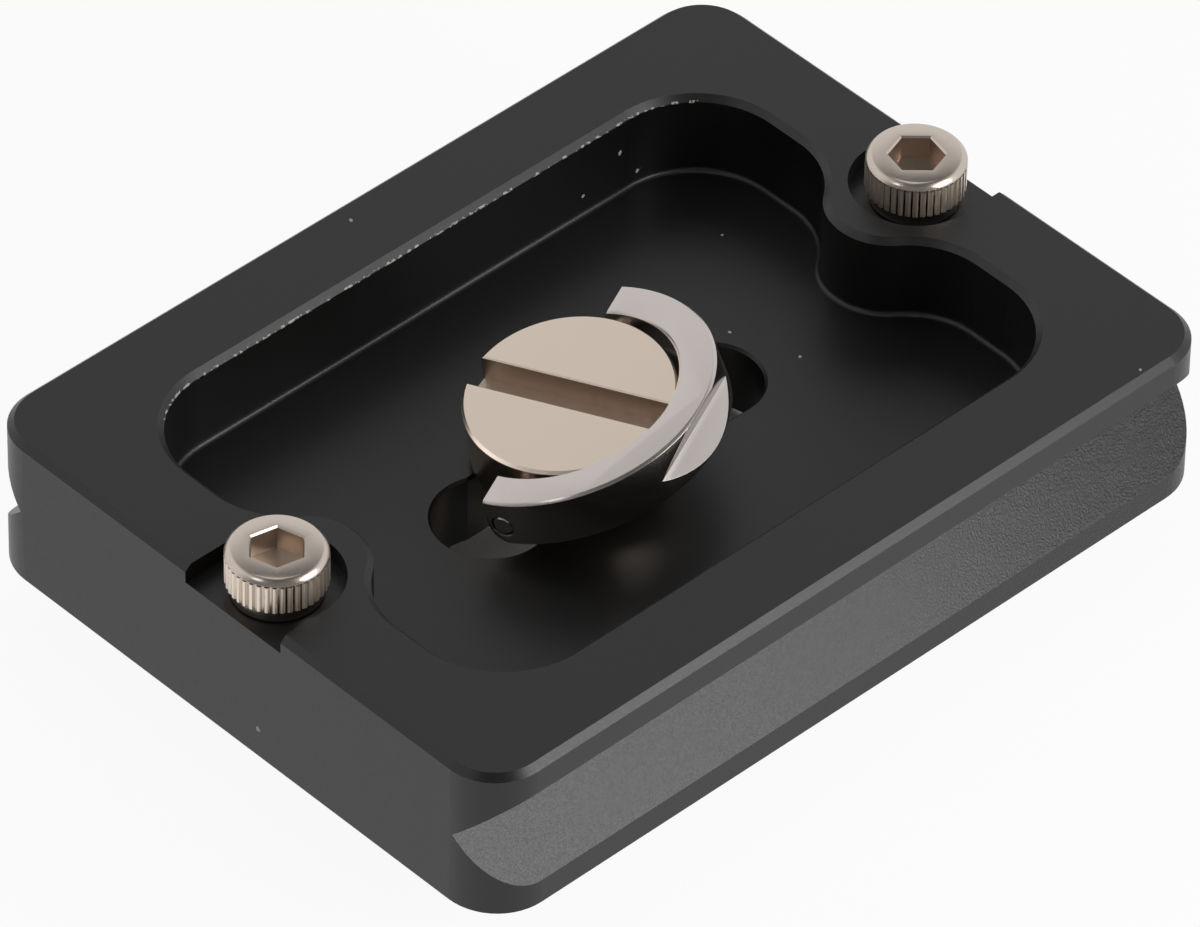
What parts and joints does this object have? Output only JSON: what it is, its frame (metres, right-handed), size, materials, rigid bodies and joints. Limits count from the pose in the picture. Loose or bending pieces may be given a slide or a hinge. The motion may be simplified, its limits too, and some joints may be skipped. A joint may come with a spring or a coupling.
{
  "type": "tripod quick release plate",
  "caption": "Dovetail camera plate with a recessed pocket, knurled stop screws at both ends and a slotted camera screw that slides, turns and has a folding finger ring.",
  "frame": {"origin": "middle of the metal face that meets the camera", "axes": "+X along the dovetail grooves, +Y across the plate, +Z from the camera side to the dovetail rim"},
  "size_m": [0.051, 0.0384, 0.0162],
  "materials": {
    "anodised": "satin black anodised",
    "nickel": "nickel plated, warm satin",
    "ring_steel": "satin, polished edges",
    "rubber": "matte",
    "washer_plastic": "matte"
  },
  "bodies": {
    "plate": {"plate_body": "anodised", "grip_strip_left": "rubber", "grip_strip_right": "rubber", "stop_screw_near": "nickel", "stop_screw_far": "nickel"},
    "carriage": {"slide_washer": "washer_plastic"},
    "screw": {"camera_screw": "nickel", "ring_pin_near": "ring_steel", "ring_pin_far": "ring_steel"},
    "ring": {"lifting_ring": "ring_steel"}
  },
  "joints": [
    {"name": "screw_slide", "type": "slide", "parent": "plate", "child": "carriage", "axis": [1, 0, 0], "range_m": [-0.006, 0.0085]},
    {"name": "screw_turn", "type": "hinge", "parent": "carriage", "child": "screw", "pos_m": [-0.00136, 0, 0.0042], "axis": [-0.1553, 0.0445, 0.9869], "continuous": true},
    {"name": "ring_fold", "type": "hinge", "parent": "screw", "child": "ring", "pos_m": [-0.00194, 0.00038, 0.00728], "axis": [-0.9212, -0.3672, -0.1284], "range_deg": [-11.5, 168.5]}
  ]
}
